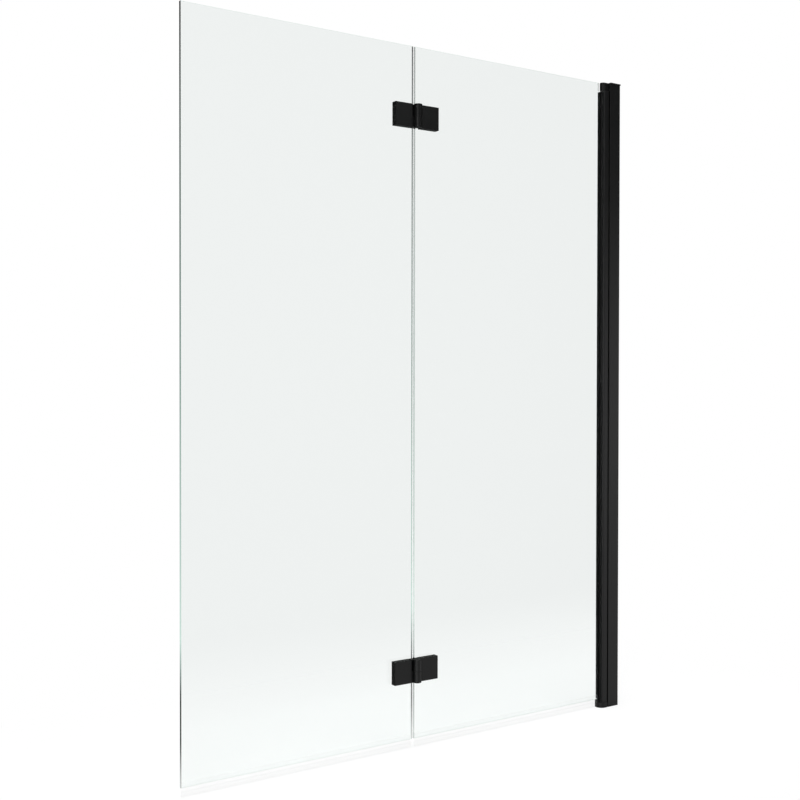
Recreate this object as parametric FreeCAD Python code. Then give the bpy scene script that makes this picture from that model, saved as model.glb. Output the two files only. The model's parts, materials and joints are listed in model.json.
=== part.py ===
"""Folding bath screen: two frameless glass leaves on a full-height wall pivot.

Millimetres. +X points at the wall, whose face is X = 0, and the glass runs from it to -X.
The glass lies in Y = 0 with its front, where the hinge barrels stand proud, towards -Y.
+Z is up from the bath rim at Z = 0.
"""

import FreeCAD, Part
import math
import os

# Overall sizes
screen_width = 1050.0
screen_height = 1400.0
outer_glass_width = 492.0
leaf_gap = 5.0
glass_thickness = 6.0
glass_arris = 0.6
glass_above_rim = 19.0
glass_below_top = 2.0

# Clearances
slip_fit = 0.05
running_fit = 0.05
running_gap = 0.3
sweep_gap = 0.5
sliding_gap = 0.2
same_place = 0.001

# Wall profile: an open channel screwed to the wall
wall_profile_depth = 30.0
wall_profile_width = 26.0
wall_profile_leg = 1.6
wall_profile_web = 2.0
wall_profile_edge = 0.8
wall_hole_radius = 3.0
wall_hole_end_distance = 100.0
middle_wall_hole_spacing = 400.0
wall_screw_head_room = 6.0

# Cap on top of the wall profile
profile_cap_thickness = 3.0
profile_cap_overhang = 2.0
profile_cap_edge = 0.8
profile_cap_lug_depth = 5.0
profile_cap_lug_length = 10.0

# Adjusting profile: a channel that slides in the wall profile and carries the pivots
adjusting_profile_wall = 1.6
screw_port_wall = 1.4
screw_port_slit = 1.2

# Screws that lock the two channels together, from the back
adjusting_screw_count = 3
adjusting_screw_end_distance = 200.0
adjusting_screw_radius = 1.95
adjusting_screw_length = 10.0
adjusting_head_radius = 3.6
adjusting_head_height = 2.2
screw_cover_wall = 1.2

# Pivot profile: the channel that grips the inner glass and turns with it
pivot_gap = 2.25
pivot_profile_depth = 15.5
pivot_profile_width = 26.0
pivot_profile_corner = 3.0
pivot_profile_wall = 1.6
pivot_profile_web = 2.5
glazing_gasket_thickness = 1.5
glazing_gasket_lip = 1.0
glass_engagement = 10.0
glass_lap_at_plugs = 2.0
glass_notch_corner = 5.0
glass_notch_gap = 0.8
glass_notch_reach = 7.25

# Pivots at the two ends of the pivot profile
pivot_pin_radius = 3.0
pivot_pin_bracket_length = 9.0
pivot_pin_plug_length = 16.0
pivot_plug_length = 30.0
pivot_plug_flange = 1.5
top_bracket_height = 17.5
top_bracket_nose_radius = 7.0
top_bracket_gap = 2.5
bottom_bracket_height = 12.0
bracket_edge = 0.8
thrust_washer_radius = 6.5
thrust_washer_thickness = 1.2
thrust_washer_recess = 0.9
bracket_screw_radius = 2.0
bracket_screw_grip = 16.0
bracket_screw_head_radius = 3.4
bracket_screw_head_height = 2.6

# Glass-to-glass hinges
upper_hinge_below_glass_edge = 140.2
lower_hinge_above_glass_edge = 139.2
hinge_height = 46.0
hinge_reach = 51.5
hinge_plate_thickness = 12.0
hinge_plate_edge = 0.6
hinge_pad_thickness = 1.0
clamp_plate_thickness = 4.0
clamp_plate_reach = 44.0
clamp_plate_height = 36.0
clamp_plate_gap = 1.0
barrel_radius = 8.5
barrel_axis_proud = 1.0
barrel_edge = 0.6
barrel_side_gap = 1.0
outer_plate_setback = 3.0
knuckle_web_setback = 1.0
knuckle_gap = 0.5
barrel_ledge_setback = 3.0
barrel_ledge_gap = 1.0
hinge_pin_radius = 3.5
hinge_pin_head_radius = 5.5
hinge_pin_head_height = 3.0
hinge_pin_cover = 4.0
hinge_bush_wall = 1.5
hinge_bush_flange = 1.0
hinge_counterbore_radius = 6.1
hinge_end_cap_thickness = 2.0
hinge_end_cap_gap = 0.5

# Screws that clamp the hinge plates on the glass
clamp_screw_spacing = 22.0
clamp_screw_radius = 2.5
clamp_screw_head_radius = 4.6
clamp_screw_socket = 3.0
clamp_screw_socket_depth = 1.6
clamp_screw_grip = 6.0
clamp_screw_hole_spare = 0.5
glass_hole_radius = 6.0

# Clear seal clipped on the bottom edge of each leaf
seal_wall = 1.0
seal_clip_height = 10.0
seal_box_height = 6.2
seal_fin_root = 1.0
seal_fin_tip = 0.7
seal_fin_root_offset = 1.4
seal_fin_spread = 1.4
seal_above_rim = 1.0

# Clear seal between the leaves, bonded on the edge of the outer glass
centre_seal_wall = 0.8
centre_seal_fin = 0.7
centre_seal_end_gap = 2.0

# Places that follow from those sizes
half_glass = glass_thickness / 2
glass_bottom = glass_above_rim
glass_top = screen_height - glass_below_top
free_edge_x = -screen_width
outer_glass_end_x = free_edge_x + outer_glass_width
inner_glass_start_x = outer_glass_end_x + leaf_gap

half_wall_profile = wall_profile_width / 2
channel_half = half_wall_profile - wall_profile_leg
wall_profile_top = screen_height - profile_cap_thickness

pivot_corner_reach = math.hypot(
    pivot_profile_depth / 2 - pivot_profile_corner,
    pivot_profile_width / 2 - pivot_profile_corner,
)
pivot_sweep = pivot_corner_reach + pivot_profile_corner
leg_clear_square = (pivot_sweep + sweep_gap) ** 2 - channel_half**2
pivot_offset = max(
    pivot_profile_depth / 2 + pivot_gap,
    math.sqrt(max(leg_clear_square, 0.0)),
)
pivot_x = -wall_profile_depth - pivot_offset
half_pivot_profile = pivot_profile_width / 2
pivot_face_x = pivot_x - pivot_profile_depth / 2
pivot_back_x = pivot_x + pivot_profile_depth / 2
slot_half = half_glass + glazing_gasket_thickness
slot_end_x = pivot_back_x - pivot_profile_web

top_bracket_bottom = screen_height - top_bracket_height
thrust_washer_top = bottom_bracket_height - thrust_washer_recess + thrust_washer_thickness
pivot_bottom = thrust_washer_top + running_gap
pivot_top = top_bracket_bottom - top_bracket_gap
pivot_profile_bottom = pivot_bottom + pivot_plug_flange
pivot_profile_top = pivot_top - pivot_plug_flange
lower_plug_end = pivot_profile_bottom + pivot_plug_length
upper_plug_end = pivot_profile_top - pivot_plug_length

adjusting_face_x = pivot_x + pivot_sweep + sweep_gap
adjusting_end_x = -wall_profile_web - wall_screw_head_room
adjusting_half = channel_half - sliding_gap
adjusting_bottom = bottom_bracket_height
adjusting_top = top_bracket_bottom
screw_port_bore = bracket_screw_radius + slip_fit
screw_port_radius = screw_port_bore + screw_port_wall
screw_port_x = adjusting_face_x + screw_port_radius
screw_port_y = adjusting_half - screw_port_radius

inner_glass_end_x = pivot_face_x + glass_engagement
plug_glass_x = pivot_face_x + glass_lap_at_plugs
notch_x = pivot_face_x - glass_notch_reach
notch_bottom = pivot_profile_top - glass_notch_gap
lower_notch_top = lower_plug_end + glass_notch_corner
upper_notch_bottom = upper_plug_end - glass_notch_corner

plate_back_y = -half_glass - hinge_pad_thickness
plate_front_y = plate_back_y - hinge_plate_thickness
clamp_front_y = half_glass + hinge_pad_thickness
clamp_back_y = clamp_front_y + clamp_plate_thickness
hinge_x = (outer_glass_end_x + inner_glass_start_x) / 2
hinge_y = plate_front_y - barrel_axis_proud
knuckle_web_front_y = plate_front_y + knuckle_web_setback
inner_plate_near = barrel_radius + barrel_side_gap
outer_plate_near = inner_plate_near + outer_plate_setback
clamp_screw_reach = (outer_plate_near + hinge_reach) / 2
back_pad_near = leaf_gap / 2 + glass_arris
hinge_heights = {
    "upper": glass_top - upper_hinge_below_glass_edge,
    "lower": glass_bottom + lower_hinge_above_glass_edge,
}

seal_half = half_glass + slip_fit + seal_wall
seal_clip_top = glass_bottom + seal_clip_height
seal_web_bottom = glass_bottom - seal_wall
seal_box_bottom = glass_bottom - seal_wall - seal_box_height
inner_seal_end_x = pivot_x - half_pivot_profile - sweep_gap


def vector(x, y, z):
    return FreeCAD.Vector(x, y, z)


def block(x0, x1, y0, y1, z0, z1):
    """Box between two corners."""
    return Part.makeBox(x1 - x0, y1 - y0, z1 - z0, vector(x0, y0, z0))


def rod(radius, x, y, z0, z1):
    """Upright cylinder."""
    return Part.makeCylinder(radius, z1 - z0, vector(x, y, z0))


def rod_across(radius, x, z, y0, y1):
    """Cylinder through the screen, along Y."""
    return Part.makeCylinder(radius, y1 - y0, vector(x, y0, z), vector(0, 1, 0))


def prism(points, push):
    """Solid from a flat outline of corners, pushed along a vector."""
    face = Part.Face(Part.makePolygon(points + points[:1]))
    return face.extrude(push)


def rounded_bar(x0, x1, half_width, corner, z0, z1):
    """Upright bar whose plan is a rectangle with four round corners."""
    bar = block(x0, x1, -half_width, half_width, z0, z1)
    upright = [edge for edge in bar.Edges if not lies_in(edge, "z", z0) and not lies_in(edge, "z", z1)]
    return bar.makeFillet(corner, upright)


def lies_in(edge, axis, value):
    """True where an edge lies whole in the plane in which x, y or z has a value."""
    index = "xyz".index(axis)
    return all(abs(vertex.Point[index] - value) < same_place for vertex in edge.Vertexes)


def edges_at(solid, axis, value):
    return [edge for edge in solid.Edges if lies_in(edge, axis, value)]


def wall_profile():
    """Channel with its web on the wall and its round-edged lips towards the glass."""
    outer = block(-wall_profile_depth, 0, -half_wall_profile, half_wall_profile, 0, wall_profile_top)
    lips = [
        edge
        for edge in edges_at(outer, "x", -wall_profile_depth)
        if not lies_in(edge, "z", 0) and not lies_in(edge, "z", wall_profile_top)
    ]
    channel = outer.makeFillet(wall_profile_edge, lips).cut(
        block(
            -wall_profile_depth,
            -wall_profile_web,
            -channel_half,
            channel_half,
            0,
            wall_profile_top,
        )
    )
    for height in wall_hole_heights():
        hole = Part.makeCylinder(
            wall_hole_radius, wall_profile_web, vector(-wall_profile_web, 0, height), vector(1, 0, 0)
        )
        channel = channel.cut(hole)
    for height in adjusting_screw_heights():
        hole = rod_across(
            adjusting_screw_radius + slip_fit,
            adjusting_screw_x(),
            height,
            channel_half,
            half_wall_profile,
        )
        channel = channel.cut(hole)
    return channel


def wall_hole_heights():
    """Two holes near the ends of the wall profile and two about its middle."""
    middle = screen_height / 2
    return [
        wall_hole_end_distance,
        middle - middle_wall_hole_spacing / 2,
        middle + middle_wall_hole_spacing / 2,
        screen_height - wall_hole_end_distance,
    ]


def adjusting_screw_heights():
    span = screen_height - 2 * adjusting_screw_end_distance
    step = span / (adjusting_screw_count - 1)
    return [adjusting_screw_end_distance + step * place for place in range(adjusting_screw_count)]


def adjusting_screw_x():
    """Screws sit midway between the screw ports and the free edges of the adjusting profile."""
    return (screw_port_x + screw_port_radius + adjusting_end_x) / 2


def wall_profile_cap():
    """Thin lid that oversails the wall profile, with a lug that plugs its channel."""
    reach = half_wall_profile + profile_cap_overhang
    lid = block(-wall_profile_depth, 0, -reach, reach, wall_profile_top, screen_height)
    rim = [edge for edge in edges_at(lid, "z", screen_height) if not lies_in(edge, "x", 0)]
    lid = lid.makeFillet(profile_cap_edge, rim)
    lug_end = -wall_profile_web - slip_fit
    lug = block(
        lug_end - profile_cap_lug_depth,
        lug_end,
        slip_fit - channel_half,
        channel_half - slip_fit,
        wall_profile_top - profile_cap_lug_length,
        wall_profile_top,
    )
    return lid.fuse(lug).removeSplitter()


def adjusting_profile():
    """Channel that faces the pivot, open to the wall, with two screw ports in its corners."""
    channel = block(
        adjusting_face_x,
        adjusting_end_x,
        -adjusting_half,
        adjusting_half,
        adjusting_bottom,
        adjusting_top,
    )
    inner_half = adjusting_half - adjusting_profile_wall
    channel = channel.cut(
        block(
            adjusting_face_x + adjusting_profile_wall,
            adjusting_end_x,
            -inner_half,
            inner_half,
            adjusting_bottom,
            adjusting_top,
        )
    )
    for side in (-1, 1):
        port_y = side * screw_port_y
        channel = channel.fuse(
            rod(screw_port_radius, screw_port_x, port_y, adjusting_bottom, adjusting_top)
        )
    for side in (-1, 1):
        port_y = side * screw_port_y
        bore = rod(screw_port_bore, screw_port_x, port_y, adjusting_bottom, adjusting_top)
        slit = block(
            screw_port_x,
            screw_port_x + screw_port_radius,
            port_y - screw_port_slit / 2,
            port_y + screw_port_slit / 2,
            adjusting_bottom,
            adjusting_top,
        )
        channel = channel.cut(bore).cut(slit)
    for height in adjusting_screw_heights():
        hole = rod_across(
            adjusting_screw_radius + slip_fit,
            adjusting_screw_x(),
            height,
            inner_half,
            adjusting_half,
        )
        channel = channel.cut(hole)
    return channel.removeSplitter()


def adjusting_screws():
    """Pan-head screws through the back legs of both channels."""
    screws = []
    for height in adjusting_screw_heights():
        x = adjusting_screw_x()
        shank = rod_across(
            adjusting_screw_radius,
            x,
            height,
            half_wall_profile - adjusting_screw_length,
            half_wall_profile,
        )
        head = rod_across(
            adjusting_head_radius,
            x,
            height,
            half_wall_profile,
            half_wall_profile + adjusting_head_height,
        )
        rim = edges_at(head, "y", half_wall_profile + adjusting_head_height)
        head = head.makeFillet(adjusting_head_height / 2, rim)
        screws.append(shank.fuse(head).removeSplitter())
    return Part.makeCompound(screws)


def screw_covers():
    """Push-on domes over the adjusting screw heads."""
    covers = []
    cavity_radius = adjusting_head_radius + slip_fit
    cavity_end = half_wall_profile + adjusting_head_height + slip_fit
    cover_end = cavity_end + screw_cover_wall
    for height in adjusting_screw_heights():
        x = adjusting_screw_x()
        dome = rod_across(
            cavity_radius + screw_cover_wall, x, height, half_wall_profile, cover_end
        )
        dome = dome.makeFillet(screw_cover_wall, edges_at(dome, "y", cover_end))
        cavity = rod_across(cavity_radius, x, height, half_wall_profile, cavity_end)
        covers.append(dome.cut(cavity))
    return Part.makeCompound(covers)


def bracket_tongue(z0, z1):
    """Part of a pivot bracket that fills the wall profile over the end of the adjusting profile."""
    return block(
        -wall_profile_depth - sliding_gap, adjusting_end_x, -adjusting_half, adjusting_half, z0, z1
    )


def bracket_screw_holes(head_z, shank_end_z):
    """Stepped holes for the two bracket screws, from the face at head_z."""
    direction = 1 if shank_end_z > head_z else -1
    seat_z = head_z + direction * bracket_screw_head_height
    holes = []
    for side in (-1, 1):
        y = side * screw_port_y
        radius = bracket_screw_head_radius + slip_fit
        holes.append(rod(radius, screw_port_x, y, min(head_z, seat_z), max(head_z, seat_z)))
        low, high = min(seat_z, shank_end_z), max(seat_z, shank_end_z)
        holes.append(rod(screw_port_bore, screw_port_x, y, low, high))
    return holes


def top_bracket_tongue_top():
    return wall_profile_top - sliding_gap


def top_pivot_bracket():
    """Block with a round nose over the pivot profile, screwed down on the adjusting profile."""
    nose_end_x = -wall_profile_depth - sliding_gap
    nose = rod(top_bracket_nose_radius, pivot_x, 0, top_bracket_bottom, screen_height)
    neck = block(
        pivot_x,
        nose_end_x,
        -top_bracket_nose_radius,
        top_bracket_nose_radius,
        top_bracket_bottom,
        screen_height,
    )
    head = nose.fuse(neck).removeSplitter()
    head = head.makeFillet(bracket_edge, edges_at(head, "z", screen_height))
    bracket = head.fuse(bracket_tongue(top_bracket_bottom, top_bracket_tongue_top()))
    for hole in bracket_screw_holes(top_bracket_tongue_top(), top_bracket_bottom):
        bracket = bracket.cut(hole)
    socket = rod(
        pivot_pin_radius + slip_fit,
        pivot_x,
        0,
        top_bracket_bottom,
        top_bracket_bottom + pivot_pin_bracket_length,
    )
    return bracket.cut(socket).removeSplitter()


def bottom_pivot_bracket():
    """Foot on the bath rim, as wide as the pivot profile that turns on it, with a half-round nose."""
    nose = rod(half_pivot_profile, pivot_x, 0, 0, bottom_bracket_height)
    foot = block(
        pivot_x, pivot_back_x, -half_pivot_profile, half_pivot_profile, 0, bottom_bracket_height
    ).fuse(nose)
    neck = block(
        pivot_x, -wall_profile_depth, -adjusting_half, adjusting_half, 0, bottom_bracket_height
    )
    bracket = foot.fuse([neck, bracket_tongue(0, bottom_bracket_height)])
    for hole in bracket_screw_holes(0, bottom_bracket_height):
        bracket = bracket.cut(hole)
    recess = rod(
        thrust_washer_radius + slip_fit,
        pivot_x,
        0,
        bottom_bracket_height - thrust_washer_recess,
        bottom_bracket_height,
    )
    socket = rod(
        pivot_pin_radius + slip_fit,
        pivot_x,
        0,
        bottom_bracket_height - pivot_pin_bracket_length,
        bottom_bracket_height,
    )
    return bracket.cut(recess).cut(socket).removeSplitter()


def pivot_pin(z0, z1):
    """Plain pivot pin with a chamfer on both ends."""
    pin = rod(pivot_pin_radius, pivot_x, 0, z0, z1)
    ends = edges_at(pin, "z", z0) + edges_at(pin, "z", z1)
    return pin.makeChamfer(pivot_pin_radius / 6, ends)


def thrust_washer():
    """Ring that carries the pivot profile on the foot."""
    bottom = bottom_bracket_height - thrust_washer_recess
    ring = rod(thrust_washer_radius, pivot_x, 0, bottom, thrust_washer_top)
    return ring.cut(rod(pivot_pin_radius + slip_fit, pivot_x, 0, bottom, thrust_washer_top))


def bracket_screw(y, head_z, tip_z):
    """Pan-head screw that stands in a screw port, with its head at head_z."""
    direction = 1 if tip_z > head_z else -1
    seat_z = head_z + direction * bracket_screw_head_height
    head = rod(
        bracket_screw_head_radius, screw_port_x, y, min(head_z, seat_z), max(head_z, seat_z)
    )
    shank = rod(bracket_screw_radius, screw_port_x, y, min(seat_z, tip_z), max(seat_z, tip_z))
    return head.fuse(shank).removeSplitter()


def bracket_screws():
    """Two screws down through the top bracket and two up through the foot."""
    screws = []
    for side in (-1, 1):
        y = side * screw_port_y
        screws.append(bracket_screw(y, top_bracket_tongue_top(), adjusting_top - bracket_screw_grip))
        screws.append(bracket_screw(y, 0, adjusting_bottom + bracket_screw_grip))
    return Part.makeCompound(screws)


def pivot_profile():
    """Round-cornered channel for the glass, with a hollow chamber in each cheek."""
    bar = rounded_bar(
        pivot_face_x,
        pivot_back_x,
        half_pivot_profile,
        pivot_profile_corner,
        pivot_profile_bottom,
        pivot_profile_top,
    )
    slot = block(
        pivot_face_x, slot_end_x, -slot_half, slot_half, pivot_profile_bottom, pivot_profile_top
    )
    bar = bar.cut(slot)
    chamber_near = slot_half + pivot_profile_wall
    chamber_far = half_pivot_profile - pivot_profile_wall
    for low, high in ((-chamber_far, -chamber_near), (chamber_near, chamber_far)):
        chamber = block(
            pivot_face_x + pivot_profile_corner,
            pivot_back_x - pivot_profile_corner,
            low,
            high,
            pivot_profile_bottom,
            pivot_profile_top,
        )
        bar = bar.cut(chamber)
    return bar


def pivot_plug(flange_z, profile_end_z, plug_end_z):
    """Moulded end plug: a flange over the profile's end and a bored tongue in its slot."""
    flange_low, flange_high = sorted((flange_z, profile_end_z))
    flange = rounded_bar(
        pivot_face_x,
        pivot_back_x,
        half_pivot_profile,
        pivot_profile_corner,
        flange_low,
        flange_high,
    )
    tongue_low, tongue_high = sorted((profile_end_z, plug_end_z))
    tongue = block(
        plug_glass_x + glass_notch_gap,
        slot_end_x - slip_fit,
        slip_fit - slot_half,
        slot_half - slip_fit,
        tongue_low,
        tongue_high,
    )
    inward = 1 if plug_end_z > flange_z else -1
    bore_end = flange_z + inward * (pivot_pin_plug_length + running_gap + pivot_plug_flange)
    bore_low, bore_high = sorted((flange_z, bore_end))
    bore = rod(pivot_pin_radius + running_fit, pivot_x, 0, bore_low, bore_high)
    return flange.fuse(tongue).cut(bore).removeSplitter()


def glazing_gasket(side):
    """Strip between the glass and one cheek of the pivot profile, with a lip outside the slot.

    Beside the plugs it is only as deep as the glass there.
    """
    near_y, far_y = sorted((side * half_glass, side * slot_half))
    strip = block(pivot_face_x, plug_glass_x, near_y, far_y, glass_bottom, notch_bottom)
    deep = block(
        pivot_face_x, inner_glass_end_x, near_y, far_y, lower_notch_top, upper_notch_bottom
    )
    lip_near = side * half_glass
    lip_far = side * (slot_half + glazing_gasket_lip)
    lip = prism(
        [
            vector(pivot_face_x, lip_near, glass_bottom),
            vector(pivot_face_x, lip_far, glass_bottom),
            vector(pivot_face_x - glazing_gasket_lip, lip_near, glass_bottom),
        ],
        vector(0, 0, notch_bottom - glass_bottom),
    )
    return strip.fuse([deep, lip]).removeSplitter()


def arrissed(pane):
    """Glass with the sharp edges of both faces ground off."""
    sharp = edges_at(pane, "y", -half_glass) + edges_at(pane, "y", half_glass)
    return pane.makeChamfer(glass_arris, sharp)


def drilled(pane, side):
    """Glass with the two holes of each hinge, on one side of the hinge axis."""
    x = hinge_x + side * clamp_screw_reach
    for centre in hinge_heights.values():
        for height in clamp_screw_heights(centre):
            pane = pane.cut(rod_across(glass_hole_radius, x, height, -half_glass, half_glass))
    return pane


def outer_glass():
    pane = block(
        free_edge_x, outer_glass_end_x, -half_glass, half_glass, glass_bottom, glass_top
    )
    return drilled(arrissed(pane), -1)


def inner_glass():
    """Pane whose wall edge stands in the pivot profile, notched for the plugs and the top bracket."""
    front = -half_glass
    outline = [
        vector(inner_glass_start_x, front, glass_bottom),
        vector(plug_glass_x, front, glass_bottom),
        vector(plug_glass_x, front, lower_notch_top),
        vector(inner_glass_end_x, front, lower_notch_top),
        vector(inner_glass_end_x, front, upper_notch_bottom),
        vector(plug_glass_x, front, upper_notch_bottom),
        vector(plug_glass_x, front, notch_bottom),
        vector(notch_x, front, notch_bottom),
        vector(notch_x, front, glass_top),
        vector(inner_glass_start_x, front, glass_top),
    ]
    pane = prism(outline, vector(0, glass_thickness, 0))
    plug_notches = [
        edge
        for edge in edges_at(pane, "x", plug_glass_x)
        if lies_in(edge, "z", lower_notch_top) or lies_in(edge, "z", upper_notch_bottom)
    ]
    bracket_notch = [edge for edge in edges_at(pane, "x", notch_x) if lies_in(edge, "z", notch_bottom)]
    inside_corners = plug_notches + bracket_notch
    pane = pane.makeFillet(glass_notch_corner, inside_corners)
    return drilled(arrissed(pane), 1)


def bottom_seal(x0, x1):
    """Clear extrusion: a clip on the glass, a hollow box under it and two wiper fins."""
    push = vector(x1 - x0, 0, 0)

    def section(points):
        return prism([vector(x0, y, z) for y, z in points], push)

    outer = block(x0, x1, -seal_half, seal_half, seal_box_bottom, seal_clip_top)
    glass_half = half_glass + slip_fit
    clip = block(x0, x1, -glass_half, glass_half, glass_bottom, seal_clip_top)
    hollow_half = seal_half - seal_wall
    hollow = block(
        x0, x1, -hollow_half, hollow_half, seal_box_bottom + seal_wall, seal_web_bottom
    )
    seal = outer.cut(clip).cut(hollow)
    for side in (-1, 1):
        root_in = side * seal_fin_root_offset
        root_out = side * (seal_fin_root_offset + seal_fin_root)
        tip_in = side * (seal_fin_root_offset + seal_fin_spread)
        tip_out = side * (seal_fin_root_offset + seal_fin_spread + seal_fin_tip)
        fin = section(
            [
                (root_in, seal_box_bottom),
                (root_out, seal_box_bottom),
                (tip_out, seal_above_rim),
                (tip_in, seal_above_rim),
            ]
        )
        seal = seal.fuse(fin)
    return seal.removeSplitter()


def centre_seal(z0, z1):
    """Clear strip on the edge of the outer glass, with a flat fin that closes the gap."""
    strip_half = half_glass - glass_arris
    strip_end_x = outer_glass_end_x + centre_seal_wall
    strip = block(outer_glass_end_x, strip_end_x, -strip_half, strip_half, z0, z1)
    fin_end_x = inner_glass_start_x - running_gap
    fin = block(strip_end_x, fin_end_x, -centre_seal_fin / 2, centre_seal_fin / 2, z0, z1)
    tip = [
        edge
        for edge in edges_at(fin, "x", fin_end_x)
        if not lies_in(edge, "z", z0) and not lies_in(edge, "z", z1)
    ]
    fin = fin.makeFillet(centre_seal_fin / 3, tip)
    return strip.fuse(fin).removeSplitter()


def centre_seal_lengths():
    """The seal stops short of each hinge, so it comes in three lengths."""
    clear = hinge_height / 2 + centre_seal_end_gap
    lower, upper = hinge_heights["lower"], hinge_heights["upper"]
    return {
        "bottom": (glass_bottom, lower - clear),
        "middle": (lower + clear, upper - clear),
        "top": (upper + clear, glass_top),
    }


def clamp_screw_heights(centre):
    return [centre - clamp_screw_spacing / 2, centre + clamp_screw_spacing / 2]


def hinge_span(side, near, reach):
    """Low and high X of a plate between two distances from the hinge axis, on one side of it."""
    return sorted((hinge_x + side * near, hinge_x + side * reach))


def plate_near(side):
    """The plate that holds the upper knuckle comes closer to the barrel than the other one."""
    return inner_plate_near if side > 0 else outer_plate_near


def knuckle_span(side, centre):
    """The wall-side plate holds the upper half of the barrel, the other plate the lower half."""
    if side > 0:
        return centre + knuckle_gap / 2, centre + hinge_height / 2
    return centre - hinge_height / 2, centre - knuckle_gap / 2


def hinge_plate(side, centre):
    """Front plate of a hinge, with its half of the barrel on a web that lies a little back."""
    low, high = centre - hinge_height / 2, centre + hinge_height / 2
    knuckle_low, knuckle_high = knuckle_span(side, centre)
    x0, x1 = hinge_span(side, plate_near(side), hinge_reach)
    plate = block(x0, x1, plate_front_y, plate_back_y, low, high)
    plate = plate.makeFillet(hinge_plate_edge, edges_at(plate, "y", plate_front_y))
    web_x0, web_x1 = hinge_span(side, 0, plate_near(side))
    web = block(web_x0, web_x1, knuckle_web_front_y, plate_back_y, knuckle_low, knuckle_high)
    knuckle = rod(barrel_radius, hinge_x, hinge_y, knuckle_low, knuckle_high)
    barrel_end = knuckle_high if side > 0 else knuckle_low
    knuckle = knuckle.makeFillet(barrel_edge, edges_at(knuckle, "z", barrel_end))
    leaf = plate.fuse([web, knuckle])
    if side < 0:
        leaf = leaf.fuse(barrel_ledge(centre))
    leaf = leaf.removeSplitter()
    depth = clamp_screw_grip + clamp_screw_hole_spare
    for height in clamp_screw_heights(centre):
        hole = rod_across(
            clamp_screw_radius + slip_fit,
            hinge_x + side * clamp_screw_reach,
            height,
            plate_back_y - depth,
            plate_back_y,
        )
        leaf = leaf.cut(hole)
    for hole in barrel_holes(side, centre):
        leaf = leaf.cut(hole)
    return leaf


def barrel_ledge(centre):
    """Ledge of the outer plate that reaches behind the upper knuckle and closes the gap beside it."""
    x0, x1 = hinge_span(-1, barrel_ledge_gap, outer_plate_near)
    low, high = centre - knuckle_gap / 2, centre + hinge_height / 2
    ledge = block(x0, x1, plate_front_y + barrel_ledge_setback, plate_back_y, low, high)
    return ledge.cut(rod(barrel_radius + barrel_side_gap, hinge_x, hinge_y, low, high))


def barrel_holes(side, centre):
    """Blind pin hole in the upper knuckle, stepped through hole in the lower one."""
    if side > 0:
        return [
            rod(
                hinge_pin_radius + slip_fit,
                hinge_x,
                hinge_y,
                centre + knuckle_gap / 2,
                pin_top(centre) + slip_fit,
            )
        ]
    bottom = centre - hinge_height / 2
    bore = hinge_pin_radius + running_fit + hinge_bush_wall + slip_fit
    return [
        rod(hinge_counterbore_radius, hinge_x, hinge_y, bottom, bush_seat(centre)),
        rod(bore, hinge_x, hinge_y, bush_seat(centre), centre - knuckle_gap / 2),
    ]


def pin_top(centre):
    return centre + hinge_height / 2 - hinge_pin_cover


def pin_head_bottom(centre):
    return centre - hinge_height / 2 + hinge_end_cap_thickness + hinge_end_cap_gap


def bush_flange_bottom(centre):
    return pin_head_bottom(centre) + hinge_pin_head_height + running_gap


def bush_seat(centre):
    """Shoulder in the lower knuckle that the bush's flange bears on."""
    return bush_flange_bottom(centre) + hinge_bush_flange


def hinge_pin(centre):
    """Headed pin, fast in the upper knuckle, that the lower knuckle hangs and turns on."""
    head_bottom = pin_head_bottom(centre)
    head_top = head_bottom + hinge_pin_head_height
    head = rod(hinge_pin_head_radius, hinge_x, hinge_y, head_bottom, head_top)
    shank = rod(hinge_pin_radius, hinge_x, hinge_y, head_top, pin_top(centre))
    return head.fuse(shank).removeSplitter()


def hinge_bush(centre):
    """Flanged sleeve in the lower knuckle."""
    top = centre - knuckle_gap / 2
    flange_bottom, seat = bush_flange_bottom(centre), bush_seat(centre)
    bore_radius = hinge_pin_radius + running_fit
    flange = rod(hinge_counterbore_radius - slip_fit, hinge_x, hinge_y, flange_bottom, seat)
    sleeve = rod(bore_radius + hinge_bush_wall, hinge_x, hinge_y, seat, top)
    bore = rod(bore_radius, hinge_x, hinge_y, flange_bottom, top)
    return flange.fuse(sleeve).cut(bore).removeSplitter()


def hinge_end_cap(centre):
    """Disc that closes the lower end of the barrel."""
    bottom = centre - hinge_height / 2
    radius = hinge_counterbore_radius - slip_fit
    return rod(radius, hinge_x, hinge_y, bottom, bottom + hinge_end_cap_thickness)


def front_pad(side, centre):
    """Soft pad with the outline of the front plate, between that plate and the glass."""
    x0, x1 = hinge_span(side, plate_near(side), hinge_reach)
    return hinge_pad(x0, x1, hinge_height, side, centre, plate_back_y, -half_glass)


def back_pad(side, centre):
    """Soft pad behind the glass, as far as the clamp plate and the glass both reach."""
    x0, x1 = hinge_span(side, back_pad_near, clamp_plate_reach)
    return hinge_pad(x0, x1, clamp_plate_height, side, centre, half_glass, clamp_front_y)


def hinge_pad(x0, x1, height, side, centre, y0, y1):
    pad = block(x0, x1, y0, y1, centre - height / 2, centre + height / 2)
    return clamp_holes_cut(pad, side, centre, y0, y1)


def clamp_holes_cut(plate, side, centre, y0, y1):
    x = hinge_x + side * clamp_screw_reach
    for height in clamp_screw_heights(centre):
        plate = plate.cut(rod_across(clamp_screw_radius + slip_fit, x, height, y0, y1))
    return plate


def countersink(radius_spare, x, z):
    """Cone of a countersunk head whose flat face is flush with the clamp plate."""
    head = clamp_screw_head_radius + radius_spare
    neck = clamp_screw_radius + radius_spare
    depth = clamp_screw_head_radius - clamp_screw_radius
    return Part.makeCone(neck, head, depth, vector(x, clamp_back_y - depth, z), vector(0, 1, 0))


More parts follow.
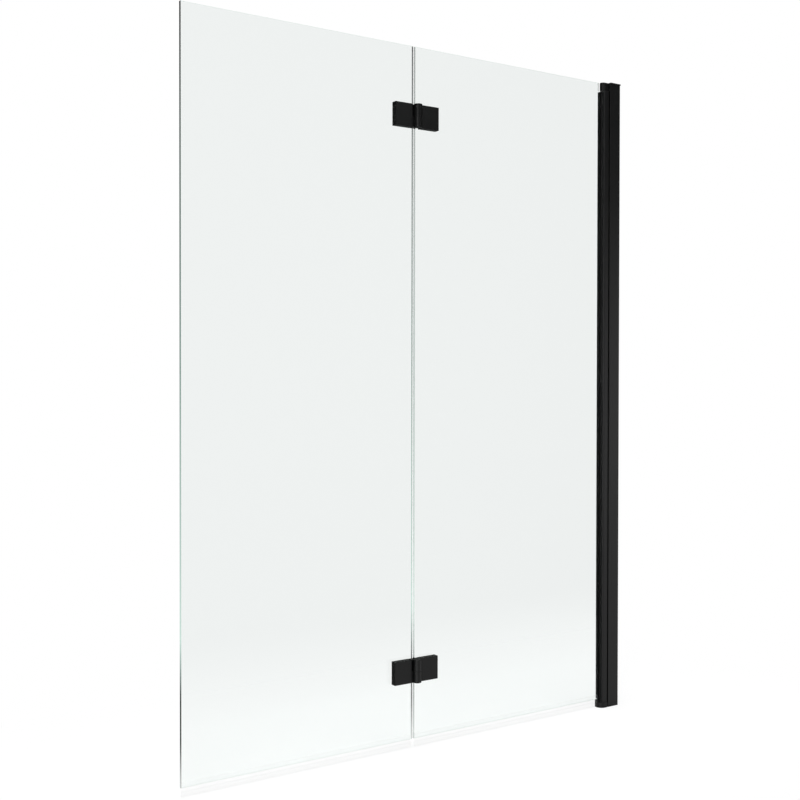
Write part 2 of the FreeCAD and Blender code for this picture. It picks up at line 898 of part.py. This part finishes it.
def clamp_plate(side, centre):
    """Back plate of a hinge, smaller than the front plate, with countersunk holes."""
    x0, x1 = hinge_span(side, clamp_plate_gap / 2, clamp_plate_reach)
    low, high = centre - clamp_plate_height / 2, centre + clamp_plate_height / 2
    plate = block(x0, x1, clamp_front_y, clamp_back_y, low, high)
    plate = plate.makeFillet(hinge_plate_edge, edges_at(plate, "y", clamp_back_y))
    plate = clamp_holes_cut(plate, side, centre, clamp_front_y, clamp_back_y)
    for height in clamp_screw_heights(centre):
        plate = plate.cut(countersink(slip_fit, hinge_x + side * clamp_screw_reach, height))
    return plate


def clamp_screws(side, centre):
    """Countersunk socket screws from the clamp plate into the front plate."""
    x = hinge_x + side * clamp_screw_reach
    tip_y = plate_back_y - clamp_screw_grip
    socket_bottom = clamp_back_y - clamp_screw_socket_depth
    socket_radius = clamp_screw_socket / math.sqrt(3)
    screws = []
    for height in clamp_screw_heights(centre):
        head = countersink(0, x, height)
        neck_y = clamp_back_y - (clamp_screw_head_radius - clamp_screw_radius)
        shank = rod_across(clamp_screw_radius, x, height, tip_y, neck_y)
        corners = [
            vector(
                x + socket_radius * math.cos(math.radians(turn)),
                socket_bottom,
                height + socket_radius * math.sin(math.radians(turn)),
            )
            for turn in range(0, 360, 60)
        ]
        socket = prism(corners, vector(0, clamp_screw_socket_depth, 0))
        screws.append(head.fuse(shank).removeSplitter().cut(socket))
    return Part.makeCompound(screws)


def glass_sleeves(side, centre):
    """Sleeves that keep the clamp screws off the glass."""
    x = hinge_x + side * clamp_screw_reach
    sleeves = []
    for height in clamp_screw_heights(centre):
        sleeve = rod_across(glass_hole_radius - slip_fit, x, height, -half_glass, half_glass)
        bore = rod_across(clamp_screw_radius + slip_fit, x, height, -half_glass, half_glass)
        sleeves.append(sleeve.cut(bore))
    return Part.makeCompound(sleeves)


def wall_pieces():
    top_pin_end = top_bracket_bottom + pivot_pin_bracket_length
    bottom_pin_end = bottom_bracket_height - pivot_pin_bracket_length
    return {
        "wall_profile": wall_profile(),
        "wall_profile_cap": wall_profile_cap(),
        "adjusting_profile": adjusting_profile(),
        "adjusting_screws": adjusting_screws(),
        "screw_covers": screw_covers(),
        "top_pivot_bracket": top_pivot_bracket(),
        "bottom_pivot_bracket": bottom_pivot_bracket(),
        "top_pivot_pin": pivot_pin(pivot_top - pivot_pin_plug_length, top_pin_end),
        "bottom_pivot_pin": pivot_pin(bottom_pin_end, pivot_bottom + pivot_pin_plug_length),
        "thrust_washer": thrust_washer(),
        "bracket_screws": bracket_screws(),
    }


def leaf_pieces():
    pieces = {
        "pivot_profile": pivot_profile(),
        "top_pivot_plug": pivot_plug(pivot_top, pivot_profile_top, upper_plug_end),
        "bottom_pivot_plug": pivot_plug(pivot_bottom, pivot_profile_bottom, lower_plug_end),
        "front_glazing_gasket": glazing_gasket(-1),
        "back_glazing_gasket": glazing_gasket(1),
        "inner_glass": inner_glass(),
        "outer_glass": outer_glass(),
        "inner_bottom_seal": bottom_seal(inner_glass_start_x, inner_seal_end_x),
        "outer_bottom_seal": bottom_seal(free_edge_x, outer_glass_end_x),
    }
    for place, (low, high) in centre_seal_lengths().items():
        pieces[place + "_centre_seal"] = centre_seal(low, high)
    return pieces


def hinge_pieces():
    pieces = {}
    for place, centre in hinge_heights.items():
        for leaf, side in (("inner", 1), ("outer", -1)):
            name = place + "_" + leaf + "_"
            pieces[name + "hinge_plate"] = hinge_plate(side, centre)
            pieces[name + "clamp_plate"] = clamp_plate(side, centre)
            pieces[name + "front_pad"] = front_pad(side, centre)
            pieces[name + "back_pad"] = back_pad(side, centre)
            pieces[name + "clamp_screws"] = clamp_screws(side, centre)
            pieces[name + "glass_sleeves"] = glass_sleeves(side, centre)
        pieces[place + "_hinge_pin"] = hinge_pin(centre)
        pieces[place + "_hinge_bush"] = hinge_bush(centre)
        pieces[place + "_hinge_end_cap"] = hinge_end_cap(centre)
    return pieces


os.makedirs("parts", exist_ok=True)
for node, shape in {**wall_pieces(), **leaf_pieces(), **hinge_pieces()}.items():
    shape.exportStep("parts/" + node + ".step")
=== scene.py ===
"""Looks of the folding bath screen: finishes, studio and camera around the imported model."""

import json
import math

import bpy
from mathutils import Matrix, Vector


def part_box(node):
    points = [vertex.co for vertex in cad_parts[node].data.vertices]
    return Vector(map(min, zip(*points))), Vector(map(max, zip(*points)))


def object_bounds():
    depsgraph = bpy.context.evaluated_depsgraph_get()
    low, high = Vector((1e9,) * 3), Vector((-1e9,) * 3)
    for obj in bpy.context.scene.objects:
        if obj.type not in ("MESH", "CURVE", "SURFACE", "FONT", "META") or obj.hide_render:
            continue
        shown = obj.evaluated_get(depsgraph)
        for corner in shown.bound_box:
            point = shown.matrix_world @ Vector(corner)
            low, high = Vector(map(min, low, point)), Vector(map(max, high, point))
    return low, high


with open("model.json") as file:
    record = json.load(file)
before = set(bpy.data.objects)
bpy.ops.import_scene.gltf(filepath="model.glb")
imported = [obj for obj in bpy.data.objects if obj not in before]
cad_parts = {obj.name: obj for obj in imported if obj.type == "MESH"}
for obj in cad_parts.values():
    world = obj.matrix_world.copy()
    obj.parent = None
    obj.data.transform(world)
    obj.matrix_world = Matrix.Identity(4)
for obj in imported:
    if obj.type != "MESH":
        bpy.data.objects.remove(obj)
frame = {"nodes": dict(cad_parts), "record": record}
cad_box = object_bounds()
middle = (cad_box[0] + cad_box[1]) / 2

MM = 0.001

# Camera, as the photograph sees the screen, in metres unless a name says otherwise
image_side_px = 800
sensor_width_mm = 36.0
focal_length_px = 1136.6
optical_axis_row_px = 389.8
camera_place = Vector((-1.8397, -1.8669, 0.7450))
camera_turn_deg = 33.88
camera_lift_deg = 0.721
camera_roll_deg = 0.08

# Floor, in metres: its size and place, and where the shadow round the screen fades out
floor_half_side = 6.0
floor_drop = 0.5 * MM
shadow_inner = 0.25
shadow_outer = 0.60

# Painted pool of light on the floor, shown only as the panes mirror it: where it gives way to
# painted dark, in metres, and the share of that painted dark that it has even beside the screen
painted_pool_inner = 0.25
painted_pool_outer = 1.15
painted_pool_least_dim = 0.25

# Glossy Depth counts reflections, so this limit parts none from one
first_reflection = 0.5


def linear(colour):
    """Linear red, green, blue and alpha of an sRGB hex colour."""
    channels = [int(colour[start:start + 2], 16) / 255 for start in (1, 3, 5)]
    curve = [c / 12.92 if c <= 0.04045 else ((c + 0.055) / 1.055) ** 2.4 for c in channels]
    return (*curve, 1.0)


def add_node(tree, kind, settings=None, values=None, links=None):
    """Adds a node with its settings, the values of its sockets and the links into them."""
    node = tree.nodes.new(kind)
    for name, setting in (settings or {}).items():
        setattr(node, name, setting)
    for socket, value in (values or {}).items():
        node.inputs[socket].default_value = value
    for socket, source in (links or {}).items():
        tree.links.new(source, node.inputs[socket])
    return node


def new_material(name):
    """An empty material with its node tree and its Object coordinates."""
    material = bpy.data.materials.new(name)
    material.use_nodes = True
    tree = material.node_tree
    tree.nodes.clear()
    place = add_node(tree, "ShaderNodeTexCoord").outputs["Object"]
    return material, tree, place


def per_metre(size_mm):
    """Pattern scale that gives features of this size."""
    return 1.0 / (size_mm * MM)


# Finishes


def black_powder_coat():
    """Polyester powder, baked on extruded aluminium: deep matt black with a fine orange peel."""
    cloud_mm = 35.0
    peel_mm = 1.2
    peel_height_mm = 0.05
    material, tree, place = new_material("black powder coat on aluminium")
    cloud = add_node(
        tree, "ShaderNodeTexNoise",
        values={"Scale": per_metre(cloud_mm), "Detail": 2.0},
        links={"Vector": place},
    )
    colour = add_node(
        tree, "ShaderNodeMixRGB",
        values={"Color1": linear("#070808"), "Color2": linear("#0C0D0D")},
        links={"Fac": cloud.outputs["Fac"]},
    )
    peel = add_node(
        tree, "ShaderNodeTexNoise",
        values={"Scale": per_metre(peel_mm), "Detail": 1.0},
        links={"Vector": place},
    )
    rough = add_node(
        tree, "ShaderNodeMapRange",
        values={"To Min": 0.38, "To Max": 0.46},
        links={"Value": peel.outputs["Fac"]},
    )
    bump = add_node(
        tree, "ShaderNodeBump",
        values={"Strength": 0.12, "Distance": peel_height_mm * MM},
        links={"Height": peel.outputs["Fac"]},
    )
    surface = add_node(
        tree, "ShaderNodeBsdfPrincipled",
        values={"IOR": 1.5, "Specular IOR Level": 0.35},
        links={
            "Base Color": colour.outputs[0],
            "Roughness": rough.outputs[0],
            "Normal": bump.outputs[0],
        },
    )
    add_node(tree, "ShaderNodeOutputMaterial", links={"Surface": surface.outputs[0]})
    return material


def black_zinc():
    """Thin black coat on die-cast zinc: smoother than the profiles, with the casting's faint waves.

    The coat's real grit is finer, and is drawn coarser so that it shows close up.
    """
    wave_mm = 9.0
    grit_mm = 0.8
    grit_height_mm = 0.04
    material, tree, place = new_material("black coat on die-cast zinc")
    wave = add_node(
        tree, "ShaderNodeTexNoise",
        values={"Scale": per_metre(wave_mm), "Detail": 3.0},
        links={"Vector": place},
    )
    grit = add_node(
        tree, "ShaderNodeTexNoise",
        values={"Scale": per_metre(grit_mm), "Detail": 1.0},
        links={"Vector": place},
    )
    colour = add_node(
        tree, "ShaderNodeMixRGB",
        values={"Color1": linear("#070808"), "Color2": linear("#0C0D0D")},
        links={"Fac": wave.outputs["Fac"]},
    )
    rough = add_node(
        tree, "ShaderNodeMapRange",
        values={"To Min": 0.35, "To Max": 0.43},
        links={"Value": wave.outputs["Fac"]},
    )
    bump = add_node(
        tree, "ShaderNodeBump",
        values={"Strength": 0.1, "Distance": grit_height_mm * MM},
        links={"Height": grit.outputs["Fac"]},
    )
    surface = add_node(
        tree, "ShaderNodeBsdfPrincipled",
        values={"IOR": 1.5, "Specular IOR Level": 0.35},
        links={
            "Base Color": colour.outputs[0],
            "Roughness": rough.outputs[0],
            "Normal": bump.outputs[0],
        },
    )
    add_node(tree, "ShaderNodeOutputMaterial", links={"Surface": surface.outputs[0]})
    return material


def black_steel():
    """Black-oxide steel screws: dark grey metal with an oily, uneven sheen."""
    stain_mm = 2.5
    material, tree, place = new_material("black oxide steel")
    stain = add_node(
        tree, "ShaderNodeTexNoise",
        values={"Scale": per_metre(stain_mm), "Detail": 3.0},
        links={"Vector": place},
    )
    colour = add_node(
        tree, "ShaderNodeMixRGB",
        values={"Color1": linear("#232426"), "Color2": linear("#36373A")},
        links={"Fac": stain.outputs["Fac"]},
    )
    rough = add_node(
        tree, "ShaderNodeMapRange",
        values={"To Min": 0.28, "To Max": 0.46},
        links={"Value": stain.outputs["Fac"]},
    )
    surface = add_node(
        tree, "ShaderNodeBsdfPrincipled",
        values={"Metallic": 1.0},
        links={"Base Color": colour.outputs[0], "Roughness": rough.outputs[0]},
    )
    add_node(tree, "ShaderNodeOutputMaterial", links={"Surface": surface.outputs[0]})
    return material


def stainless_steel():
    """Turned stainless steel: bright warm grey, with the lathe's fine rings up each pin.

    A real feed is about a tenth of this one, which is drawn coarser so that it shows close up.
    A wave texture of scale 1 runs through wave_radians in one unit.
    """
    feed_mm = 1.0
    ring_height_mm = 0.01
    wave_radians = 20.0
    material, tree, place = new_material("turned stainless steel")
    rings = add_node(
        tree, "ShaderNodeTexWave",
        settings={"bands_direction": "Z"},
        values={
            "Scale": per_metre(feed_mm) * math.tau / wave_radians,
            "Distortion": 0.4,
            "Detail": 1.0,
        },
        links={"Vector": place},
    )
    rough = add_node(
        tree, "ShaderNodeMapRange",
        values={"To Min": 0.2, "To Max": 0.32},
        links={"Value": rings.outputs["Fac"]},
    )
    bump = add_node(
        tree, "ShaderNodeBump",
        values={"Strength": 0.15, "Distance": ring_height_mm * MM},
        links={"Height": rings.outputs["Fac"]},
    )
    surface = add_node(
        tree, "ShaderNodeBsdfPrincipled",
        values={"Base Color": linear("#C9C7C2"), "Metallic": 1.0},
        links={"Roughness": rough.outputs[0], "Normal": bump.outputs[0]},
    )
    add_node(tree, "ShaderNodeOutputMaterial", links={"Surface": surface.outputs[0]})
    return material


def glass_edge(tree, place):
    """Mask of a pane's ground edges, and the colour that light takes through them.

    An upright edge has the glass's own green tint, with a painted reflection by height over it:
    painted dark at the top, pale green low down, and painted dark again a little above its foot.
    The inner pane's edge at the joint gets less of this painted tone, which stands in for the clear
    seal before it.
    """
    outer_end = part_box("outer_glass")[1]
    inner_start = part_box("inner_glass")[0]
    arris_reach_mm = 0.05
    upright_limit = 0.5
    sealed_edge_painted_share = 0.45
    # Painted reflection over the edge's own green tint, by share of the pane's height
    tint_and_painted_reflection_at_height = {
        0.01: "#D8DAD9",
        0.07: "#4A4E4D",
        0.13: "#4A4E4D",
        0.2: "#D2E8E0",
        0.55: "#8DA29B",
        1.0: "#141716",
    }
    axes = add_node(tree, "ShaderNodeSeparateXYZ", links={"Vector": place})
    depth = add_node(
        tree, "ShaderNodeMath",
        settings={"operation": "ABSOLUTE"},
        links={0: axes.outputs["Y"]},
    )
    edge = add_node(
        tree, "ShaderNodeMath",
        settings={"operation": "LESS_THAN"},
        values={1: outer_end.y - arris_reach_mm * MM},
        links={0: depth.outputs[0]},
    )
    facing = add_node(tree, "ShaderNodeTexCoord").outputs["Normal"]
    tilt = add_node(tree, "ShaderNodeSeparateXYZ", links={"Vector": facing})
    rise = add_node(
        tree, "ShaderNodeMath",
        settings={"operation": "ABSOLUTE"},
        links={0: tilt.outputs["Z"]},
    )
    upright = add_node(
        tree, "ShaderNodeMath",
        settings={"operation": "LESS_THAN"},
        values={1: upright_limit},
        links={0: rise.outputs[0]},
    )
    upright_edge = add_node(
        tree, "ShaderNodeMath",
        settings={"operation": "MULTIPLY"},
        links={0: edge.outputs[0], 1: upright.outputs[0]},
    )
    painted_tone_strength = add_node(
        tree, "ShaderNodeMapRange",
        values={
            "From Min": outer_end.x,
            "From Max": inner_start.x,
            "To Min": 1.0,
            "To Max": sealed_edge_painted_share,
        },
        links={"Value": axes.outputs["X"]},
    )
    painted_tone_share = add_node(
        tree, "ShaderNodeMath",
        settings={"operation": "MULTIPLY"},
        links={0: upright_edge.outputs[0], 1: painted_tone_strength.outputs[0]},
    )
    height = add_node(
        tree, "ShaderNodeMapRange",
        values={"From Max": outer_end.z},
        links={"Value": axes.outputs["Z"]},
    )
    tint_and_painted_reflection_ramp = add_node(tree, "ShaderNodeValToRGB", links={"Fac": height.outputs[0]})
    stops = tint_and_painted_reflection_ramp.color_ramp.elements
    while len(stops) < len(tint_and_painted_reflection_at_height):
        stops.new(1.0)
    for stop, (share, tone) in zip(stops, tint_and_painted_reflection_at_height.items()):
        stop.position = share
        stop.color = linear(tone)
    edge_tint_and_painted_reflection = add_node(
        tree, "ShaderNodeMixRGB",
        values={"Color1": linear("#F3F7F5")},
        links={"Fac": painted_tone_share.outputs[0], "Color2": tint_and_painted_reflection_ramp.outputs["Color"]},
    )
    return edge.outputs[0], edge_tint_and_painted_reflection.outputs[0]


def clear_glass():
    """Toughened float glass: clear mirroring faces, and ground edges with a green tint and a
    painted reflection.
    """
    material, tree, place = new_material("clear toughened glass")
    edge, edge_tint_and_painted_reflection = glass_edge(tree, place)
    surface = add_node(
        tree, "ShaderNodeBsdfPrincipled",
        values={
            "Base Color": linear("#F8FBFA"),
            "Roughness": 0.0,
            "Transmission Weight": 1.0,
            "IOR": 1.52,
        },
    )
    # Light goes straight through the edges, carrying their tint and painted reflection
    straight = add_node(tree, "ShaderNodeBsdfTransparent", links={"Color": edge_tint_and_painted_reflection})
    path = add_node(tree, "ShaderNodeLightPath")
    unbent = add_node(
        tree, "ShaderNodeMath",
        settings={"operation": "MAXIMUM"},
        links={0: path.outputs["Is Shadow Ray"], 1: edge},
    )
    pane = add_node(
        tree, "ShaderNodeMixShader",
        links={0: unbent.outputs[0], 1: surface.outputs[0], 2: straight.outputs[0]},
    )
    add_node(tree, "ShaderNodeOutputMaterial", links={"Surface": pane.outputs[0]})
    return material


def clear_vinyl():
    """Extruded soft vinyl: nearly clear with a faint haze, and an uneven gloss from the die."""
    die_line_mm = 1.2
    haze = 0.028
    material, tree, place = new_material("clear soft vinyl")
    lines = add_node(
        tree, "ShaderNodeTexNoise",
        values={"Scale": per_metre(die_line_mm), "Detail": 2.0},
        links={"Vector": place},
    )
    rough = add_node(
        tree, "ShaderNodeMapRange",
        values={"To Min": 0.2, "To Max": 0.35},
        links={"Value": lines.outputs["Fac"]},
    )
    surface = add_node(
        tree, "ShaderNodeBsdfPrincipled",
        values={"Base Color": linear("#F8FAFA"), "IOR": 1.53, "Alpha": haze},
        links={"Roughness": rough.outputs[0]},
    )
    add_node(tree, "ShaderNodeOutputMaterial", links={"Surface": surface.outputs[0]})
    return material


def black_plastic():
    """Moulded black nylon: matt, with the mould's spark texture.

    Real sparks are finer, and are drawn coarser so that they show close up.
    """
    spark_mm = 0.6
    spark_depth_mm = 0.03
    material, tree, place = new_material("moulded black nylon")
    spark = add_node(
        tree, "ShaderNodeTexVoronoi",
        values={"Scale": per_metre(spark_mm)},
        links={"Vector": place},
    )
    colour = add_node(
        tree, "ShaderNodeMixRGB",
        values={"Color1": linear("#0B0B0B"), "Color2": linear("#121212")},
        links={"Fac": spark.outputs["Distance"]},
    )
    bump = add_node(
        tree, "ShaderNodeBump",
        values={"Strength": 0.2, "Distance": spark_depth_mm * MM},
        links={"Height": spark.outputs["Distance"]},
    )
    surface = add_node(
        tree, "ShaderNodeBsdfPrincipled",
        values={"Roughness": 0.55, "IOR": 1.53, "Specular IOR Level": 0.3},
        links={"Base Color": colour.outputs[0], "Normal": bump.outputs[0]},
    )
    add_node(tree, "ShaderNodeOutputMaterial", links={"Surface": surface.outputs[0]})
    return material


def natural_nylon():
    """Natural nylon: milky off-white that glows a little where it is thin."""
    flow_mm = 4.0
    glow_depth_mm = 1.0
    material, tree, place = new_material("natural nylon")
    flow = add_node(
        tree, "ShaderNodeTexNoise",
        values={"Scale": per_metre(flow_mm), "Detail": 2.0},
        links={"Vector": place},
    )
    colour = add_node(
        tree, "ShaderNodeMixRGB",
        values={"Color1": linear("#DCD8CC"), "Color2": linear("#E8E5DB")},
        links={"Fac": flow.outputs["Fac"]},
    )
    surface = add_node(
        tree, "ShaderNodeBsdfPrincipled",
        values={
            "Roughness": 0.42,
            "IOR": 1.53,
            "Subsurface Weight": 0.3,
            "Subsurface Scale": glow_depth_mm * MM,
        },
        links={"Base Color": colour.outputs[0]},
    )
    add_node(tree, "ShaderNodeOutputMaterial", links={"Surface": surface.outputs[0]})
    return material


def black_rubber():
    """Extruded black rubber: dull, with a dusty bloom."""
    bloom_mm = 3.0
    material, tree, place = new_material("black rubber")
    bloom = add_node(
        tree, "ShaderNodeTexNoise",
        values={"Scale": per_metre(bloom_mm), "Detail": 3.0},
        links={"Vector": place},
    )
    colour = add_node(
        tree, "ShaderNodeMixRGB",
        values={"Color1": linear("#090909"), "Color2": linear("#101010")},
        links={"Fac": bloom.outputs["Fac"]},
    )
    rough = add_node(
        tree, "ShaderNodeMapRange",
        values={"To Min": 0.7, "To Max": 0.9},
        links={"Value": bloom.outputs["Fac"]},
    )
    surface = add_node(
        tree, "ShaderNodeBsdfPrincipled",
        values={"IOR": 1.52, "Specular IOR Level": 0.2},
        links={"Base Color": colour.outputs[0], "Roughness": rough.outputs[0]},
    )
    add_node(tree, "ShaderNodeOutputMaterial", links={"Surface": surface.outputs[0]})
    return material


def dress_nodes():
    """Gives every piece of the model the finish that its slot names."""
    finishes = {
        "black_powder_coat": black_powder_coat(),
        "black_zinc": black_zinc(),
        "black_steel": black_steel(),
        "stainless_steel": stainless_steel(),
        "clear_glass": clear_glass(),
        "clear_vinyl": clear_vinyl(),
        "black_plastic": black_plastic(),
        "natural_nylon": natural_nylon(),
        "black_rubber": black_rubber(),
    }
    for part in frame["record"]["subparts"]:
        piece = frame["nodes"][part["node"]]
        piece.data.materials.clear()
        piece.data.materials.append(finishes[part["material_slot"]])


# Floor, room, lights and camera


def distance_clear_of_screen(tree, axes, away):
    """How far a place on the floor lies from the screen, to its sides or past its ends."""
    along = add_node(
        tree, "ShaderNodeMath",
        settings={"operation": "SUBTRACT"},
        values={1: middle.x},
        links={0: axes["X"]},
    )
    aside = add_node(
        tree, "ShaderNodeMath",
        settings={"operation": "ABSOLUTE"},
        links={0: along.outputs[0]},
    )
    past_end = add_node(
        tree, "ShaderNodeMath",
        settings={"operation": "SUBTRACT"},
        values={1: cad_box[1].x - middle.x},
        links={0: aside.outputs[0]},
    )
    clear = add_node(
        tree, "ShaderNodeMath",
        settings={"operation": "MAXIMUM"},
        links={0: away, 1: past_end.outputs[0]},
    )
    return clear.outputs[0]


def floor_seen_straight(tree, path, clear):
    """Matt floor that keeps the soft shadow under the screen, and is plain white away from it."""
    own_light = 0.80
    shown = add_node(
        tree, "ShaderNodeMath",
        settings={"operation": "MAXIMUM"},
        links={0: path["Is Camera Ray"], 1: path["Is Glossy Ray"]},
    )
    glow = add_node(
        tree, "ShaderNodeMath",
        settings={"operation": "MULTIPLY"},
        values={1: own_light},
        links={0: shown.outputs[0]},
    )
    matt = add_node(
        tree, "ShaderNodeBsdfPrincipled",
        values={
            "Base Color": linear("#898989"),
            "Roughness": 0.8,
            "Specular IOR Level": 0.1,
            "Emission Color": linear("#FFFFFF"),
        },
        links={"Emission Strength": glow.outputs[0]},
    )
    far = add_node(
        tree, "ShaderNodeMapRange",
        settings={"interpolation_type": "SMOOTHSTEP"},
        values={"From Min": shadow_inner, "From Max": shadow_outer},
        links={"Value": clear},
    )
    plain = add_node(
        tree, "ShaderNodeMath",
        settings={"operation": "MULTIPLY"},
        links={0: far.outputs[0], 1: shown.outputs[0]},
    )
    white = add_node(
        tree, "ShaderNodeEmission",
        values={"Color": linear("#FFFFFF"), "Strength": 1.0},
    )
    lit = add_node(
        tree, "ShaderNodeMixShader",
        links={0: plain.outputs[0], 1: matt.outputs[0], 2: white.outputs[0]},
    )
    return lit.outputs[0]


def floor_mirrored(tree, lit, away, reflected):
    """The floor as a pane mirrors it: a painted pool of light beside the screen, running into a
    painted dark room.
    """
    dim = add_node(
        tree, "ShaderNodeMapRange",
        settings={"interpolation_type": "SMOOTHSTEP"},
        values={"From Min": painted_pool_inner, "From Max": painted_pool_outer, "To Min": painted_pool_least_dim},
        links={"Value": away},
    )
    mirrored = add_node(
        tree, "ShaderNodeMath",
        settings={"operation": "MULTIPLY"},
        links={0: dim.outputs[0], 1: reflected},
    )
    # Painted dark: a dim grey glow that stands in for the unlit room in the panes
    dark = add_node(
        tree, "ShaderNodeEmission",
        values={"Color": linear("#202020"), "Strength": 1.0},
    )
    shade = add_node(
        tree, "ShaderNodeMixShader",
        links={0: mirrored.outputs[0], 1: lit, 2: dark.outputs[0]},
    )
    return shade.outputs[0]


def floor_in_gloss(tree, path, axes, shade, reflected):
    """The floor in rough gloss, and its back half in the panes too: painted grey light in front,
    painted dark behind.
    """
    screen_plane = 0.0
    blend_reach = 0.05
    painted_front_glow = 0.78
    painted_back_glow = 0.08
    in_front = add_node(
        tree, "ShaderNodeMath",
        settings={"operation": "LESS_THAN"},
        values={1: screen_plane},
        links={0: axes["Y"]},
    )
    in_pane = add_node(
        tree, "ShaderNodeMath",
        settings={"operation": "MULTIPLY"},
        links={0: in_front.outputs[0], 1: path["Is Singular Ray"]},
    )
    in_gloss = add_node(
        tree, "ShaderNodeMath",
        settings={"operation": "SUBTRACT", "use_clamp": True},
        links={0: reflected, 1: in_pane.outputs[0]},
    )
    level = add_node(
        tree, "ShaderNodeMapRange",
        values={
            "From Min": screen_plane - blend_reach,
            "From Max": screen_plane + blend_reach,
            "To Min": painted_front_glow,
            "To Max": painted_back_glow,
        },
        links={"Value": axes["Y"]},
    )
    # Painted light and shade: a glow set by depth in place of the floor's lit look
    dull = add_node(tree, "ShaderNodeEmission", links={"Strength": level.outputs[0]})
    seen = add_node(
        tree, "ShaderNodeMixShader",
        links={0: in_gloss.outputs[0], 1: shade, 2: dull.outputs[0]},
    )
    return seen.outputs[0]


def floor_material():
    """White floor with three looks: seen straight, mirrored in a pane, and in rough gloss."""
    material, tree, place = new_material("matt white floor")
    path = add_node(tree, "ShaderNodeLightPath").outputs
    axes = add_node(tree, "ShaderNodeSeparateXYZ", links={"Vector": place}).outputs
    away = add_node(
        tree, "ShaderNodeMath",
        settings={"operation": "ABSOLUTE"},
        links={0: axes["Y"]},
    ).outputs[0]
    reflected = add_node(
        tree, "ShaderNodeMath",
        settings={"operation": "GREATER_THAN"},
        values={1: first_reflection},
        links={0: path["Glossy Depth"]},
    ).outputs[0]
    clear = distance_clear_of_screen(tree, axes, away)
    lit = floor_seen_straight(tree, path, clear)
    shade = floor_mirrored(tree, lit, away, reflected)
    seen = floor_in_gloss(tree, path, axes, shade, reflected)
    add_node(tree, "ShaderNodeOutputMaterial", links={"Surface": seen})
    return material


def add_floor():
    """A wide floor just under the screen's foot."""
    bpy.ops.object.select_all(action="DESELECT")
    bpy.ops.mesh.primitive_plane_add(size=2 * floor_half_side, location=(0, 0, -floor_drop))
    floor = bpy.context.object
    floor.name = "floor"
    floor.data.materials.append(floor_material())


def add_world():
    """White seen straight and through the glass, soft light all round, and a dim room in gloss."""
    soft_light = 0.35
    room_in_gloss = 0.03
    world = bpy.data.worlds.new("white studio")
    bpy.context.scene.world = world
    world.use_nodes = True
    world.cycles.sampling_method = "NONE"
    tree = world.node_tree
    tree.nodes.clear()
    path = add_node(tree, "ShaderNodeLightPath").outputs
    unreflected = add_node(
        tree, "ShaderNodeMath",
        settings={"operation": "LESS_THAN"},
        values={1: first_reflection},
        links={0: path["Glossy Depth"]},
    )
    through_glass = add_node(
        tree, "ShaderNodeMath",
        settings={"operation": "MULTIPLY"},
        links={0: unreflected.outputs[0], 1: path["Is Transmission Ray"]},
    )
    straight = add_node(
        tree, "ShaderNodeMath",
        settings={"operation": "MAXIMUM"},
        links={0: path["Is Camera Ray"], 1: through_glass.outputs[0]},
    )
    light = add_node(
        tree, "ShaderNodeBackground",
        values={"Color": linear("#FFFFFF"), "Strength": soft_light},
    )
    room = add_node(
        tree, "ShaderNodeBackground",
        values={"Color": linear("#FFFFFF"), "Strength": room_in_gloss},
    )
    white = add_node(
        tree, "ShaderNodeBackground",
        values={"Color": linear("#FFFFFF"), "Strength": 1.0},
    )
    lit = add_node(
        tree, "ShaderNodeMixShader",
        links={0: path["Is Glossy Ray"], 1: light.outputs[0], 2: room.outputs[0]},
    )
    seen = add_node(
        tree, "ShaderNodeMixShader",
        links={0: straight.outputs[0], 1: lit.outputs[0], 2: white.outputs[0]},
    )
    add_node(tree, "ShaderNodeOutputWorld", links={"Surface": seen.outputs[0]})


def add_softbox(name, place, width, height, power):
    """A softbox aimed at the middle of the screen, which only reflections show."""
    lamp = bpy.data.lights.new(name, "AREA")
    lamp.shape = "RECTANGLE"
    lamp.size = width
    lamp.size_y = height
    lamp.energy = power
    softbox = bpy.data.objects.new(name, lamp)
    bpy.context.scene.collection.objects.link(softbox)
    softbox.location = place
    softbox.rotation_euler = (middle - Vector(place)).to_track_quat("-Z", "Y").to_euler()
    softbox.visible_camera = False
    softbox.visible_transmission = False


def add_lights():
    """Softboxes round the screen, with places and sizes in metres and powers in watts."""
    add_softbox("key strip light", place=(-2.8, -2.3, 0.75), width=0.3, height=1.5, power=42.0)
    add_softbox("high front softbox", place=(0.5, -1.95, 2.55), width=0.8, height=0.8, power=7.0)
    add_softbox("overhead softbox", place=(-0.9, -0.6, 3.2), width=2.5, height=2.5, power=50.0)
    add_softbox("right softbox", place=(2.1, -1.6, 0.7), width=0.8, height=1.2, power=6.5)
    add_softbox("back softbox", place=(1.4, 3.0, 0.7), width=2.6, height=1.2, power=14.0)


def add_camera():
    """The photograph's camera, fitted to the edges of the panes and profiles."""
    lens = bpy.data.cameras.new("photograph view")
    lens.sensor_width = sensor_width_mm
    lens.lens = sensor_width_mm * focal_length_px / image_side_px
    middle_px = image_side_px / 2
    lens.shift_y = (optical_axis_row_px - middle_px) / image_side_px
    camera = bpy.data.objects.new("photograph view", lens)
    bpy.context.scene.collection.objects.link(camera)
    turn = math.radians(camera_turn_deg)
    lift = math.radians(camera_lift_deg)
    roll = math.radians(camera_roll_deg)
    level = math.pi / 2
    camera.location = camera_place
    camera.rotation_euler = (level - lift, -roll, -turn)
    bpy.context.scene.camera = camera


dress_nodes()
add_floor()
add_world()
add_lights()
add_camera()
bpy.context.scene.view_settings.view_transform = "Standard"
